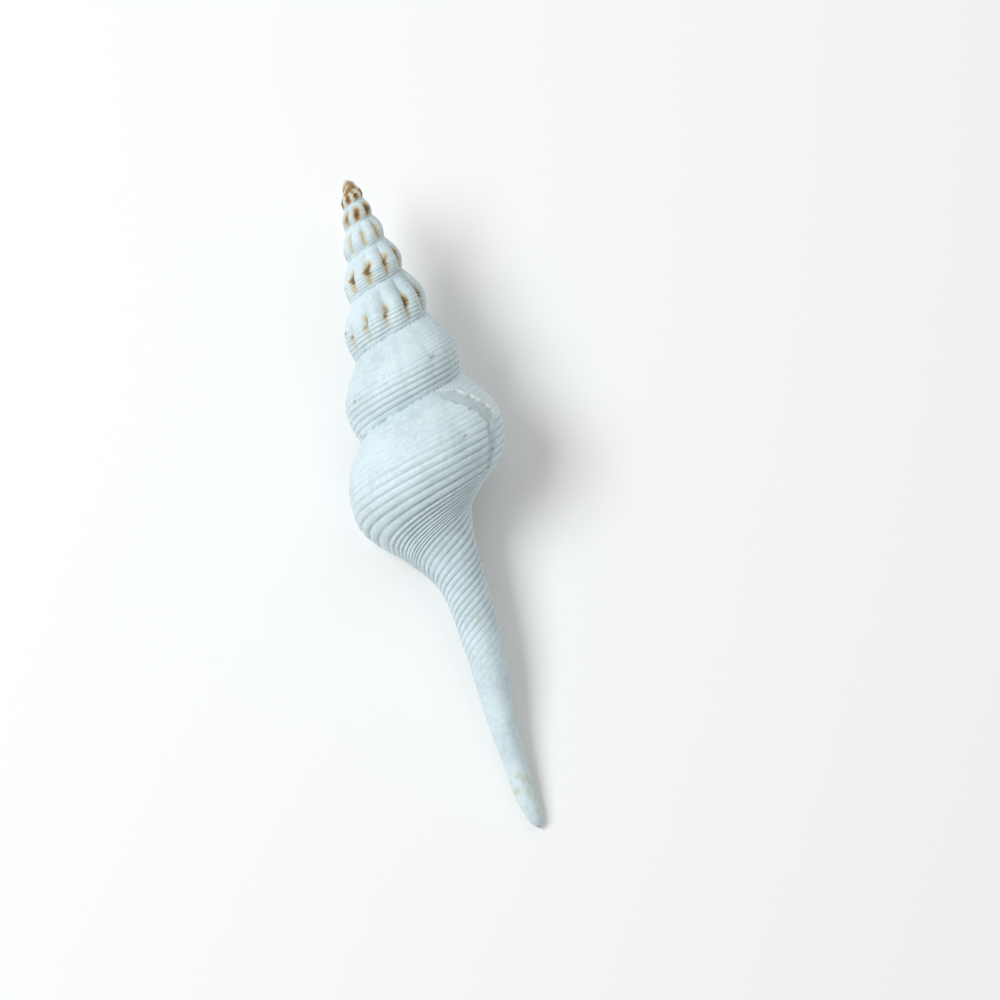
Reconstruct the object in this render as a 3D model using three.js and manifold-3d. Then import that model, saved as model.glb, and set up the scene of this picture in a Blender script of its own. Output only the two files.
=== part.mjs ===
// A spindle shell (a long-canalled, right-handed sea snail shell), lying on its opening.
//
// The shell is one grown piece. Its outer skin is a strip that winds round an axis and grows by
// the same ratio each turn. Every turn starts at the seam with the turn above (the suture),
// swells to its widest line (the periphery) and pulls in again below it. Only the last turn
// shows its base, which narrows at the neck into a long straight canal. The living chamber opens
// at the lip, and the canal stays open to it along a narrow slit on the underside.
//
// Shell space: `down` is measured along the axis from the apex to the canal tip, and `turn`
// counts whorls. A whole turn number lies on the left of the axis, seen from the back with the
// apex up, and the growth passes from the right over the back to the left.

import * as THREE from "three";
import Module from "manifold-3d";
import { mergeVertices } from "three/addons/utils/BufferGeometryUtils.js";

// ---- Driving dimensions, millimetres and turns --------------------------------------------
const SHELL_LENGTH = 150;
const GROWTH_PER_TURN = 1.38; // spacing of the sutures, from one turn to the next
const WIDENING_PER_TURN = 1.395; // width of the whorls, from one turn to the next
const SUTURE_SCALE = 62.8; // distance of the suture at turn 0 below the spiral's pole
const NECK_SCALE = 92.4; // the same for the corner between base and neck
const POLE_ABOVE_APEX = 6.1; // the spiral's pole lies above the worn apex
const WIDEST_RADIUS = 21.3; // at turn 0, before the last turn draws in
const NECK_RADIUS = 9.5;
const NECK_FLARE_LENGTH = 4.4; // how soon the neck narrows to the canal
const PERIPHERY_SHARE = 0.62; // where a whorl is widest, between its two sutures
const DRAW_IN = 0.075; // how much the last half turn draws in
const LIP_FLARE = 0.09; // how much the lip spreads again at its edge

const FIRST_TURN = -6.9;
const LIP_TURN = 0.1;
const CANAL_TWIST = 0.125; // turns by which the lip runs ahead on the canal

const CANAL_RADIUS = [[60, 5.2], [73, 5.1], [100, 4.65], [111, 4.3], [124, 3.3], [133, 2.66],
  [142, 2.3], [147, 1.7], [150, 0.7]];
const AXIS_SWAY = [[0, 0.5], [60, 0.5], [85, -0.2], [110, -0.2], [125, -1.1], [133, -1.1],
  [143, -0.85], [150, 0]];

const WALL = 1.3; // shell wall of the living chamber
const CALLUS = 0.5; // glaze on the inner side of the opening
const CHAMBER_DEPTH = 3.1; // turns from the lip to the blind end of the hollow
const SLIT_WIDTH = 1.7;
const SLIT_TURN = 0.235; // the slit's place round the canal

// Ribs across the early whorls, counted along the growth: [turn, ribs so far]. A hollow lies at
// each whole count.
const RIB_COUNT = [[-7.1, -41], [-6.18, -34], [-5.247, -27], [-4.248, -19], [-3.218, -10],
  [-2.246, 0], [-1.25, 12]];
const RIBS_FADE_FROM = -2.1;
const RIBS_FADE_TO = -1.4;
const RIB_HEIGHT = 0.09; // share of the whorl's radius, from hollow to crest

// How it lies: turned about its length, and dipped at one end, so that it rests unheld.
const REST_ROLL = -1.35; // degrees
const REST_DIP = 9.4; // degrees

// ---- Mesh fineness ------------------------------------------------------------------------
const STEPS_PER_TURN = 44;
const STRIP_STEPS = 7; // suture to suture
const BASE_STEPS = 8; // lower suture to neck
const CANAL_STEPS = 16; // neck to canal tip

// ---- Helpers ------------------------------------------------------------------------------
const lerp = (a, b, share) => a + (b - a) * share;
const clamp01 = (value) => Math.min(1, Math.max(0, value));
const ease = (value) => THREE.MathUtils.smoothstep(value, 0, 1);

// A smooth line through [place, value] points, held level past its ends.
function through(points, place) {
  const last = points.length - 1;
  if (place <= points[0][0]) return points[0][1];
  if (place >= points[last][0]) return points[last][1];
  const i = points.findIndex(([at]) => at > place) - 1;
  const slope = (k) => {
    const [before, after] = [points[Math.max(0, k - 1)], points[Math.min(last, k + 1)]];
    return (after[1] - before[1]) / (after[0] - before[0]);
  };
  const [[x0, y0], [x1, y1]] = [points[i], points[i + 1]];
  const [width, t] = [x1 - x0, (place - x0) / (x1 - x0)];
  const [t2, t3] = [t * t, t * t * t];
  return (2 * t3 - 3 * t2 + 1) * y0 + (t3 - 2 * t2 + t) * width * slope(i)
    + (3 * t2 - 2 * t3) * y1 + (t3 - t2) * width * slope(i + 1);
}

// ---- The growth law -----------------------------------------------------------------------
const spiral = (scale, turn) => scale * GROWTH_PER_TURN ** turn - POLE_ABOVE_APEX;
const sutureDown = (turn) => spiral(SUTURE_SCALE, turn);
const neckDown = (turn) => spiral(NECK_SCALE, turn);
const peripheryDown = (turn) => lerp(sutureDown(turn), sutureDown(turn + 1), PERIPHERY_SHARE);
const neckRadius = (turn) => NECK_RADIUS * GROWTH_PER_TURN ** turn;
const lastHalfTurn = (turn) => ease(clamp01((turn + 0.6) / 0.6));
const lipFlare = (turn) => LIP_FLARE * ease(clamp01(turn / LIP_TURN));
const peripheryRadius = (turn) => WIDEST_RADIUS * WIDENING_PER_TURN ** turn
  * (1 - DRAW_IN * lastHalfTurn(turn) + lipFlare(turn));

// From the periphery to the neck: a quarter ellipse on older growth, a straighter cone at last.
function baseRadius(turn, down) {
  const share = clamp01((down - peripheryDown(turn)) / (neckDown(turn) - peripheryDown(turn)));
  const straight = lastHalfTurn(turn);
  const bulge = (1 - share ** lerp(2.2, 2.0, straight)) ** lerp(0.5, 1.7, straight);
  return lerp(neckRadius(turn), peripheryRadius(turn), bulge);
}

// From the suture to the periphery: the shoulder is fuller on the newest growth.
const shoulder = (turn, share) => 1 - (1 - share ** 1.15) ** lerp(1.9, 3, lastHalfTurn(turn));
const sutureRadius = (turn) => baseRadius(turn - 1, sutureDown(turn));

function canalRadius(turn, down) {
  const atNeck = neckDown(turn);
  const flare = neckRadius(turn) - through(CANAL_RADIUS, atNeck);
  return through(CANAL_RADIUS, down) + flare * Math.exp(-(down - atNeck) / NECK_FLARE_LENGTH);
}

// Distance of the outer skin from the axis.
function skinRadius(turn, down) {
  const widest = peripheryDown(turn);
  if (down > neckDown(turn)) return canalRadius(turn, down);
  if (down > widest) return baseRadius(turn, down);
  const top = sutureDown(turn);
  const share = clamp01((down - top) / (widest - top));
  return lerp(sutureRadius(turn), peripheryRadius(turn), shoulder(turn, share));
}

// Ribs run from suture to suture and die out at both, so that the whorls still meet.
function ribSwell(turn, share) {
  const fade = 1 - ease(clamp01((turn - RIBS_FADE_FROM) / (RIBS_FADE_TO - RIBS_FADE_FROM)));
  if (share >= 1 || fade === 0) return 1;
  const crest = Math.abs(Math.sin(Math.PI * through(RIB_COUNT, turn))) ** 0.8;
  return 1 + RIB_HEIGHT * fade * (crest - 0.6) * Math.sin(Math.PI * share) ** 0.8;
}

// ---- Shell space to part space --------------------------------------------------------------
// X right, Y towards the apex, Z up from the shell's back.
function place(turn, down, radius) {
  const angle = Math.PI + 2 * Math.PI * turn;
  return new THREE.Vector3(
    through(AXIS_SWAY, down) + radius * Math.cos(angle),
    SHELL_LENGTH / 2 - down,
    radius * Math.sin(angle),
  );
}

// One row of the skin across the growth. Rows of the last turn go on to the canal tip.
const canalTwist = (step) =>
  CANAL_TWIST * ease(clamp01((step - STRIP_STEPS) / (BASE_STEPS + CANAL_STEPS * 0.3)));

function skinPoint(rowTurn, step) {
  const turn = rowTurn + canalTwist(step);
  const lower = sutureDown(turn + 1);
  if (step <= STRIP_STEPS) {
    const share = step / STRIP_STEPS;
    const down = lerp(sutureDown(turn), lower, share);
    return { turn, down, radius: skinRadius(turn, down) * ribSwell(turn, share) };
  }
  const neck = neckDown(turn);
  const down = step <= STRIP_STEPS + BASE_STEPS
    ? lerp(lower, neck, Math.sin(((step - STRIP_STEPS) / BASE_STEPS) * Math.PI / 2))
    : lerp(neck, SHELL_LENGTH, ((step - STRIP_STEPS - BASE_STEPS) / CANAL_STEPS) ** 1.25);
  return { turn, down, radius: skinRadius(turn, down) };
}

// ---- The whole outside, closed over the opening ---------------------------------------------
const wasm = await Module();
wasm.setup();
const ALL_STEPS = STRIP_STEPS + BASE_STEPS + CANAL_STEPS;

class Skin {
  points = [];
  faces = [];

  add(point) {
    this.points.push(point);
    return this.points.length - 1;
  }

  quad(a, b, c, d) {
    this.faces.push(a, b, c, a, c, d);
  }

  // The closed solid: shared points merged, and the faces that shrink to nothing left out.
  solid() {
    const loose = new THREE.BufferGeometry().setFromPoints(this.points).setIndex(this.faces);
    const merged = mergeVertices(loose, 1e-3);
    const index = merged.index.array;
    const triVerts = [];
    for (let i = 0; i < index.length; i += 3) {
      const [a, b, c] = index.slice(i, i + 3);
      if (a !== b && b !== c && c !== a) triVerts.push(a, b, c);
    }
    return new wasm.Manifold(new wasm.Mesh({
      numProp: 3,
      vertProperties: merged.getAttribute("position").array,
      triVerts: new Uint32Array(triVerts),
    }));
  }
}

function outerSkin() {
  const skin = new Skin();
  const firstRow = Math.round((FIRST_TURN - LIP_TURN) * STEPS_PER_TURN);
  const rows = [];
  for (let row = firstRow; row <= 0; row++) {
    const steps = row >= -STEPS_PER_TURN ? ALL_STEPS : STRIP_STEPS;
    const rowTurn = LIP_TURN + row / STEPS_PER_TURN;
    rows.push(Array.from({ length: steps + 1 }, (_, step) => {
      const { turn, down, radius } = skinPoint(rowTurn, step);
      return skin.add(place(turn, down, radius));
    }));
  }
  for (let i = 1; i < rows.length; i++) {
    const [older, newer] = [rows[i - 1], rows[i]];
    for (let step = 1; step < older.length; step++) {
      skin.quad(older[step - 1], newer[step - 1], newer[step], older[step]);
    }
  }
  // The worn apex: a low cap over the first turn and over the start of the strip.
  const apex = skin.add(new THREE.Vector3(AXIS_SWAY[0][1], SHELL_LENGTH / 2, 0));
  const start = rows[0];
  for (let step = 1; step < start.length; step++) skin.faces.push(apex, start[step - 1], start[step]);
  for (let i = 1; i <= STEPS_PER_TURN; i++) skin.faces.push(apex, rows[i][0], rows[i - 1][0]);

  // The canal tip.
  const tip = skin.add(new THREE.Vector3(0, -SHELL_LENGTH / 2, 0));
  const lastTurn = rows.slice(-STEPS_PER_TURN - 1);
  for (let i = 1; i < lastTurn.length; i++) {
    skin.faces.push(lastTurn[i - 1][ALL_STEPS], lastTurn[i][ALL_STEPS], tip);
  }

  // The opening, closed for now: the lip's outline and the older skin one turn back.
  const lip = rows[rows.length - 1];
  const wall = rows[rows.length - 1 - STEPS_PER_TURN].slice(STRIP_STEPS);
  const outline = (row, steps) => steps.map((step) => {
    const { down, radius } = skinPoint(row, step);
    return new THREE.Vector2(radius, down);
  });
  const lipSteps = lip.map((_, step) => step);
  const wallSteps = wall.map((_, i) => STRIP_STEPS + i);
  let [a, b] = [0, 0];
  const lipLine = outline(LIP_TURN, lipSteps);
  const wallLine = outline(LIP_TURN - 1, wallSteps);
  while (a < lip.length - 1 || b < wall.length - 1) {
    const stepLip = b === wall.length - 1 || (a < lip.length - 1
      && lipLine[a + 1].y <= wallLine[b + 1].y);
    if (stepLip) skin.faces.push(lip[a], wall[b], lip[a + 1]);
    else skin.faces.push(lip[a], wall[b], wall[b + 1]);
    if (stepLip) a++;
    else b++;
  }
  return skin.solid();
}

// A closed solid through rings of the same number of points, with both ends filled.
function throughRings(rings) {
  const skin = new Skin();
  const numbered = rings.map((ring) => ring.map((point) => skin.add(point)));
  const count = rings[0].length;
  for (let i = 1; i < numbered.length; i++) {
    for (let k = 0; k < count; k++) {
      const next = (k + 1) % count;
      skin.quad(numbered[i - 1][k], numbered[i - 1][next], numbered[i][next], numbered[i][k]);
    }
  }
  for (const [ring, flip] of [[0, false], [numbered.length - 1, true]]) {
    const middle = rings[ring].reduce((sum, point) => sum.add(point), new THREE.Vector3());
    const centre = skin.add(middle.divideScalar(count));
    numbered[ring].forEach((point, k) => {
      const next = numbered[ring][(k + 1) % count];
      if (flip) skin.faces.push(centre, point, next);
      else skin.faces.push(centre, next, point);
    });
  }
  return skin.solid();
}

// The living chamber: at each turn, the room between the whorl's outer wall and the whorl inside it.
const CHAMBER_LEVELS = 8;
const CHAMBER_RINGS = 70;
const PAST_LIP = 0.03; // turns, so that the cut comes right through

function chamber() {
  const rings = [];
  for (let i = 0; i <= CHAMBER_RINGS; i++) {
    const back = (i / CHAMBER_RINGS) * (CHAMBER_DEPTH + PAST_LIP);
    const turn = LIP_TURN + PAST_LIP - back;
    const narrowing = ease(clamp01((back - CHAMBER_DEPTH + 0.3) / 0.33));
    const wall = WALL * GROWTH_PER_TURN ** (0.75 * Math.min(0, turn));
    const top = sutureDown(turn) + wall * 1.4;
    const bottom = Math.min(
      neckDown(turn) - wall * 0.5,
      lerp(sutureDown(turn + 1), neckDown(turn), 0.7),
    );
    const outer = [];
    const inner = [];
    for (let level = 0; level <= CHAMBER_LEVELS; level++) {
      const share = 0.5 - 0.5 * Math.cos((level / CHAMBER_LEVELS) * Math.PI);
      const middle = lerp(top, bottom, 0.5);
      const down = lerp(lerp(top, bottom, share), middle, 0.6 * narrowing);
      const inside = skinRadius(turn - 1, Math.max(down, sutureDown(turn))) + CALLUS;
      const outside = Math.max(skinRadius(turn, down) - wall * 1.15, inside + 0.3);
      const centre = lerp(inside, outside, 0.5);
      outer.push(place(turn, down, lerp(outside, centre, 0.7 * narrowing)));
      inner.push(place(turn, down, lerp(inside, centre, 0.7 * narrowing)));
    }
    rings.push([...outer, ...inner.reverse()]);
  }
  return throughRings(rings);
}

// The canal: a narrow channel that leaves the chamber's foot and runs to the tip, open to the
// outside along a slit.
const CHANNEL_PATH = [[80, 9.5], [86, 7.2], [92, 4.6], [99, 2.6], [108, 1.7], [120, 1.2],
  [135, 0.9], [152, 0.6]]; // place along the axis, distance from it
const CHANNEL_SIDES = 8;
const CHANNEL_RINGS = 22;

function canalChannel() {
  const rings = [];
  const [start, end] = [CHANNEL_PATH[0][0], CHANNEL_PATH[CHANNEL_PATH.length - 1][0]];
  for (let i = 0; i <= CHANNEL_RINGS; i++) {
    const down = lerp(start, end, i / CHANNEL_RINGS);
    const angle = Math.PI + 2 * Math.PI * SLIT_TURN;
    const outward = new THREE.Vector2(Math.cos(angle), Math.sin(angle));
    const across = new THREE.Vector2(-outward.y, outward.x);
    const skinHere = through(CANAL_RADIUS, down);
    const bore = skinHere * 0.42;
    const slit = Math.min(SLIT_WIDTH, bore * 1.5) / 2;
    const distance = through(CHANNEL_PATH, down);
    const point = (far, wide) => {
      const flat = outward.clone().multiplyScalar(far).addScaledVector(across, wide);
      return new THREE.Vector3(through(AXIS_SWAY, down) + flat.x, SHELL_LENGTH / 2 - down, flat.y);
    };
    const ring = [point(distance + skinHere + 4, -slit), point(distance + skinHere + 4, slit)];
    for (let k = 0; k <= CHANNEL_SIDES; k++) {
      const open = Math.asin(Math.min(1, slit / bore));
      const around = lerp(open, 2 * Math.PI - open, k / CHANNEL_SIDES);
      ring.push(point(distance + bore * Math.cos(around), bore * Math.sin(around)));
    }
    rings.push(ring);
  }
  return throughRings(rings);
}

function geometryOf(solid) {
  const mesh = solid.getMesh();
  return new THREE.BufferGeometry()
    .setAttribute("position", new THREE.BufferAttribute(mesh.vertProperties, 3))
    .setIndex(new THREE.BufferAttribute(mesh.triVerts, 1));
}

// ---- The shell ------------------------------------------------------------------------------
const geometry = geometryOf(outerSkin().subtract(chamber()).subtract(canalChannel()));
const shell = new THREE.Mesh(geometry, new THREE.MeshStandardMaterial({
  color: 0xd8e6ea, roughness: 0.55, metalness: 0 }));
shell.name = "spindle_shell";
shell.rotation.y = THREE.MathUtils.degToRad(REST_ROLL);

const lying = new THREE.Group();
lying.rotation.x = THREE.MathUtils.degToRad(REST_DIP);
lying.add(shell);

// The origin is on the surface that the shell lies on, under the middle of its box.
const box = new THREE.Box3().setFromObject(lying, true);
const middle = box.getCenter(new THREE.Vector3());
lying.position.set(-middle.x, -middle.y, -box.min.z);

const model = new THREE.Group();
model.add(lying);
export default model;
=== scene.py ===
# %% [markdown]
# # A spindle shell
# A spindle shell is the house of a sea snail. It is one wall of shell, laid down a little at a
# time at the lip, so it keeps the record of its own growth: each turn is a larger copy of the
# turn before. The lesson builds it the way it grew, from a few growth numbers, and then adds the
# cords, ribs, an old mended break and the brown stains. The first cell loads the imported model,
# which says how large the shell is and how it lies.

# %% The frame
import math

import bmesh
import bpy
from mathutils import Matrix, Vector, noise


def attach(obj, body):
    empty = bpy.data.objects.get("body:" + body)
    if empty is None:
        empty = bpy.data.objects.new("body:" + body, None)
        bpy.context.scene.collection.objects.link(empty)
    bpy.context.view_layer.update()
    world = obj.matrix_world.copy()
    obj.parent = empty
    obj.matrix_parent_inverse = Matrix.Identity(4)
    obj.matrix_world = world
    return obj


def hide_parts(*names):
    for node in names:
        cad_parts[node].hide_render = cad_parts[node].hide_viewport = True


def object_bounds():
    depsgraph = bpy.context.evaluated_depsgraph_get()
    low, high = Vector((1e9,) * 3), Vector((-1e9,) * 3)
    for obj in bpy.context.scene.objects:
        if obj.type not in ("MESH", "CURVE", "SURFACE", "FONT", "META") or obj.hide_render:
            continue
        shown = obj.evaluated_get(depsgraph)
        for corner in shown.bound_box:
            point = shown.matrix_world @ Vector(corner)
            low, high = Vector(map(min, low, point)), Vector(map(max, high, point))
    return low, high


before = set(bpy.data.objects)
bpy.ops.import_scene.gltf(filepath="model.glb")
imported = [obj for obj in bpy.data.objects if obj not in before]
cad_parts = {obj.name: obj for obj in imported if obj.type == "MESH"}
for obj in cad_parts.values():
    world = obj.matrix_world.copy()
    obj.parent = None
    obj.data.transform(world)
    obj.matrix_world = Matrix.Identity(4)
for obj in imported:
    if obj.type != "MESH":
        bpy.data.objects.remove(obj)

packed_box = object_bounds()
SHELL_NODE = "spindle_shell"
print("nodes:", list(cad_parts), "box:", packed_box)

# %% [markdown]
# ## The growth law
# A snail turns, widens and drops by the same share in each turn, which draws a spiral that never
# changes its shape. `turn` counts whorls, with 0 on the left side of the last whorl seen from
# the back, and `down` is the distance along the axis from the apex, in millimetres. A few
# numbers fix everything: how fast the sutures (the seams between whorls) drop, how fast the
# whorls widen, and how the neck of the canal runs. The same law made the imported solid, so
# the fine surface fits it with nothing moved.

# %% Growth numbers
MM = 0.001
SHELL_LENGTH = 150.0
GROWTH_PER_TURN = 1.38
WIDENING_PER_TURN = 1.395
SUTURE_SCALE = 62.8
NECK_SCALE = 92.4
POLE_ABOVE_APEX = 6.1
WIDEST_RADIUS = 21.3
NECK_RADIUS = 9.5
NECK_FLARE_LENGTH = 4.4
NECK_ROUNDING = 4.0
PERIPHERY_SHARE = 0.62
DRAW_IN = 0.075
DRAW_IN_TURNS = 0.6
FIRST_TURN = -6.9
LIP_TURN = 0.1
CANAL_TWIST = 0.125
LIP_FLARE = 0.09
REST_ROLL = math.radians(-1.35)
REST_DIP = math.radians(9.4)

CANAL_RADIUS = [(60, 5.2), (73, 5.1), (100, 4.65), (111, 4.3), (124, 3.3), (133, 2.66),
                (142, 2.3), (147, 1.7), (149.3, 0.9), (150, 0.0)]
AXIS_SWAY = [(0, 0.5), (60, 0.5), (85, -0.2), (110, -0.2), (125, -1.1), (133, -1.1),
             (143, -0.85), (150, 0.0)]


def mix(a, b, share):
    return a + (b - a) * share


def clamp(value):
    return min(1.0, max(0.0, value))


def ease(value):
    value = clamp(value)
    return value * value * (3 - 2 * value)


def through(points, place):
    """A smooth line through (place, value) points, held level past its ends."""
    last = len(points) - 1
    if place <= points[0][0]:
        return points[0][1]
    if place >= points[last][0]:
        return points[last][1]
    i = next(k for k, (at, _) in enumerate(points) if at > place) - 1

    def slope(k):
        before, after = points[max(0, k - 1)], points[min(last, k + 1)]
        return (after[1] - before[1]) / (after[0] - before[0])

    (x0, y0), (x1, y1) = points[i], points[i + 1]
    width = x1 - x0
    t = (place - x0) / width
    t2, t3 = t * t, t * t * t
    return ((2 * t3 - 3 * t2 + 1) * y0 + (t3 - 2 * t2 + t) * width * slope(i)
            + (3 * t2 - 2 * t3) * y1 + (t3 - t2) * width * slope(i + 1))


def suture_down(turn):
    return SUTURE_SCALE * GROWTH_PER_TURN ** turn - POLE_ABOVE_APEX


def neck_down(turn):
    return NECK_SCALE * GROWTH_PER_TURN ** turn - POLE_ABOVE_APEX


print("sutures on the left side, mm:", [round(suture_down(t), 1) for t in range(-6, 1)])

# %% [markdown]
# ## The outline of a whorl
# Cut the shell along its axis and each whorl shows the same outline: a shoulder that rises from
# the suture, the widest line, and a base that pulls in. On the last whorl the base goes on to
# the neck, and the neck flares out of the canal. One drawn curve, swept round, would do for a
# shape that never changes. Written as small functions of `turn` and `down`, the outline can be
# asked for at any place, so each whorl may differ and the mesh can be as fine as it needs.

# %% Whorl outline
def last_half_turn(turn):
    return ease((turn + DRAW_IN_TURNS) / DRAW_IN_TURNS)


def periphery_down(turn):
    return mix(suture_down(turn), suture_down(turn + 1), PERIPHERY_SHARE)


def periphery_radius(turn):
    spread = LIP_FLARE * ease(turn / LIP_TURN) - DRAW_IN * last_half_turn(turn)
    return WIDEST_RADIUS * WIDENING_PER_TURN ** turn * (1 + spread)


def neck_radius(turn):
    return NECK_RADIUS * GROWTH_PER_TURN ** turn


def base_radius(turn, down):
    widest = periphery_down(turn)
    share = clamp((down - widest) / (neck_down(turn) - widest))
    straight = last_half_turn(turn)
    bulge = (1 - share ** mix(2.2, 2.0, straight)) ** mix(0.5, 1.7, straight)
    return mix(neck_radius(turn), periphery_radius(turn), bulge)


def canal_radius(turn, down):
    at_neck = neck_down(turn)
    flare = neck_radius(turn) - through(CANAL_RADIUS, at_neck)
    return through(CANAL_RADIUS, down) + flare * math.exp((at_neck - down) / NECK_FLARE_LENGTH)


def sharp_radius(turn, down):
    """Distance of the outer skin from the axis, with a crease at the neck."""
    widest = periphery_down(turn)
    if down > neck_down(turn):
        return canal_radius(turn, down)
    if down > widest:
        return base_radius(turn, down)
    top = suture_down(turn)
    share = clamp((down - top) / (widest - top))
    shoulder = 1 - (1 - share ** 1.15) ** mix(1.9, 3.0, last_half_turn(turn))
    return mix(base_radius(turn - 1, top), periphery_radius(turn), shoulder)


def skin_radius(turn, down):
    """Distance of the outer skin from the axis, before cords and ribs, with a rounded neck."""
    sharp = sharp_radius(turn, down)
    near_neck = math.exp(-((down - neck_down(turn)) / NECK_ROUNDING) ** 2)
    near_neck *= ease((down - suture_down(turn + 1)) / NECK_ROUNDING)
    if near_neck < 0.02:
        return sharp
    steps = [NECK_ROUNDING * k / 4 for k in range(-3, 4)]
    rounded = sum(sharp_radius(turn, down + step) for step in steps) / len(steps)
    return mix(sharp, rounded, near_neck)


print("widest radius by turn, mm:", [round(periphery_radius(t / 2), 1) for t in range(-8, 1)])

# %% [markdown]
# ## A place on the skin
# `across` runs over a whorl from its suture (0) to the next suture (1), over the base to the
# neck (2) and down the canal to its tip (3). Lines of the same `across` are the lines that cords
# follow, so a mesh laid out on `turn` and `across` puts its edges along the cords for free. The
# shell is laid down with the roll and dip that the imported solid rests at.

# %% Places
RESTING = Matrix.Rotation(REST_DIP, 4, "X") @ Matrix.Rotation(REST_ROLL, 4, "Y")


def canal_twist(across):
    return CANAL_TWIST * ease((across - 1) / 1.3)


def down_at(turn, across):
    if across <= 1:
        return mix(suture_down(turn), suture_down(turn + 1), across)
    neck = neck_down(turn)
    if across <= 2:
        share = across - 1
        return mix(suture_down(turn + 1), neck, share * (1.35 - 0.35 * share))
    along = across - 2
    straight_drop = mix(NECK_SCALE - POLE_ABOVE_APEX, SHELL_LENGTH, along)
    spiral_drop = neck - (NECK_SCALE - POLE_ABOVE_APEX)
    climb = (1 - 0.35 * ease(along / 0.15)) * (1 - ease((along - 0.5) / 0.5))
    return straight_drop + spiral_drop * climb


def shell_place(turn, down, radius):
    """Shell space in millimetres: X right, Y towards the apex, Z out of the back."""
    angle = math.pi * (1 + 2 * turn)
    return Vector((through(AXIS_SWAY, down) + radius * math.cos(angle),
                   SHELL_LENGTH / 2 - down,
                   radius * math.sin(angle)))


def skin_place(turn, across):
    down = down_at(turn, across)
    return shell_place(turn, down, skin_radius(turn, down))


def skin_out(turn, across):
    """Which way is out of the skin, from two short steps along it."""
    step = 0.004
    across = min(across, 3 - 2 * step)
    here = skin_place(turn, across)
    onward = skin_place(turn + step, across) - here
    outward = onward.cross(skin_place(turn, across + step) - here)
    return outward.normalized()


print("neck at the lip:", skin_place(LIP_TURN, 2), "out:", skin_out(-0.25, 0.6))

# %% [markdown]
# ## Cords and ribs
# Cords are the fine ridges that run with the growth. They are close together on the shoulder,
# broad round the middle and deepest on the base, then they climb round the canal and fade. Ribs
# run across the growth on the early whorls, with narrow hollows between them that hold the brown
# stain. The mesh gets four columns for each cord, or three on the canal: the groove and the ridge.

# %% Cord and rib layout
FINE_CORDS = 9
BROAD_CORDS = 6
BASE_CORDS = 8
CANAL_CORDS = 25
CANAL_CORDS_END = 2.60
SMOOTH_CANAL_COLUMNS = 20
CORD_COLUMNS = (0.0, 0.22, 0.5, 0.78)
CANAL_CORD_COLUMNS = (0.0, 0.35, 0.68)
RIB_COUNTS = [(-7.1, -41), (-6.18, -34), (-5.247, -27), (-4.248, -19), (-3.218, -10),
              (-2.246, 0), (-1.25, 12), (-0.25, 25), (1.0, 42)]


def cord_places():
    """The `across` of each groove, from the suture to where the canal turns smooth."""
    fine = [0.5 * k / FINE_CORDS for k in range(FINE_CORDS)]
    broad = [0.5 + 0.5 * k / BROAD_CORDS for k in range(BROAD_CORDS)]
    base = [1 + k / BASE_CORDS for k in range(BASE_CORDS)]
    canal = [mix(2, CANAL_CORDS_END, (k / CANAL_CORDS) ** 1.2) for k in range(CANAL_CORDS + 1)]
    return fine + broad + base + canal


def columns(grooves):
    """Mesh columns for each cord, between one groove and the next."""
    places = []
    for upper, lower in zip(grooves, grooves[1:]):
        parts = CORD_COLUMNS if upper < 2 else CANAL_CORD_COLUMNS
        places += [(mix(upper, lower, part), part) for part in parts]
    return places + [(grooves[-1], 0.0)]


GROOVES = cord_places()
ALL_COLUMNS = columns(GROOVES)
ALL_COLUMNS += [(mix(CANAL_CORDS_END, 3, (k + 1) / SMOOTH_CANAL_COLUMNS), 0.0)
                for k in range(SMOOTH_CANAL_COLUMNS)]
STRIP_COLUMNS = [c for c in ALL_COLUMNS if c[0] < 1 + 1e-9]
LOWER_COLUMNS = [c for c in ALL_COLUMNS if c[0] > 1 - 1e-9]
print(len(STRIP_COLUMNS), "columns between sutures,", len(LOWER_COLUMNS), "below")

# %% [markdown]
# ## The outer skin
# The skin could be extruded one growth line at a time. A flat grid that is then rolled up gives
# the same faces much sooner: one long grid for the strip between two sutures, and a second, one
# turn long, for the base and canal of the last whorl. Each vertex keeps its turn and its place
# across in attribute layers, which later carry the cords and the stains.

# %% Rolled-up grids
PLAIN_ROWS = 112
BREAK_ROWS = 290
BREAK_SPAN = (0.45, 0.62)
SLIT_TURNS = 0.062
body = bmesh.new()
TURN = body.verts.layers.float.new("turn")
ACROSS = body.verts.layers.float.new("across")
CORD = body.verts.layers.float.new("cord")
SKIN = body.verts.layers.float.new("skin")


def grid_of(bm, rows, cols):
    """A flat grid of (rows + 1) by (cols + 1) vertices, as a list of rows."""
    made = bmesh.ops.create_grid(bm, x_segments=rows, y_segments=cols, size=0.5)
    table = [[None] * (cols + 1) for _ in range(rows + 1)]
    for vert in made["verts"]:
        row = round((vert.co.x + 0.5) * rows)
        col = round((vert.co.y + 0.5) * cols)
        table[row][col] = vert
    return table


def lay(vert, place, turn, across, cord=0.0, skin=0.0):
    vert.co = place
    vert[TURN] = turn
    vert[ACROSS] = across
    vert[CORD] = cord
    vert[SKIN] = skin


def row_places():
    """Rows of one turn, as shares of it up to the lip: closer together at the old break."""
    places = [0.0]
    while places[-1] < 1:
        near_break = BREAK_SPAN[0] < places[-1] < BREAK_SPAN[1]
        places.append(places[-1] + 1 / (BREAK_ROWS if near_break else PLAIN_ROWS))
    return [place / places[-1] for place in places]


def slit_share(across):
    return ease((across - 1.75) / 0.5)


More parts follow.
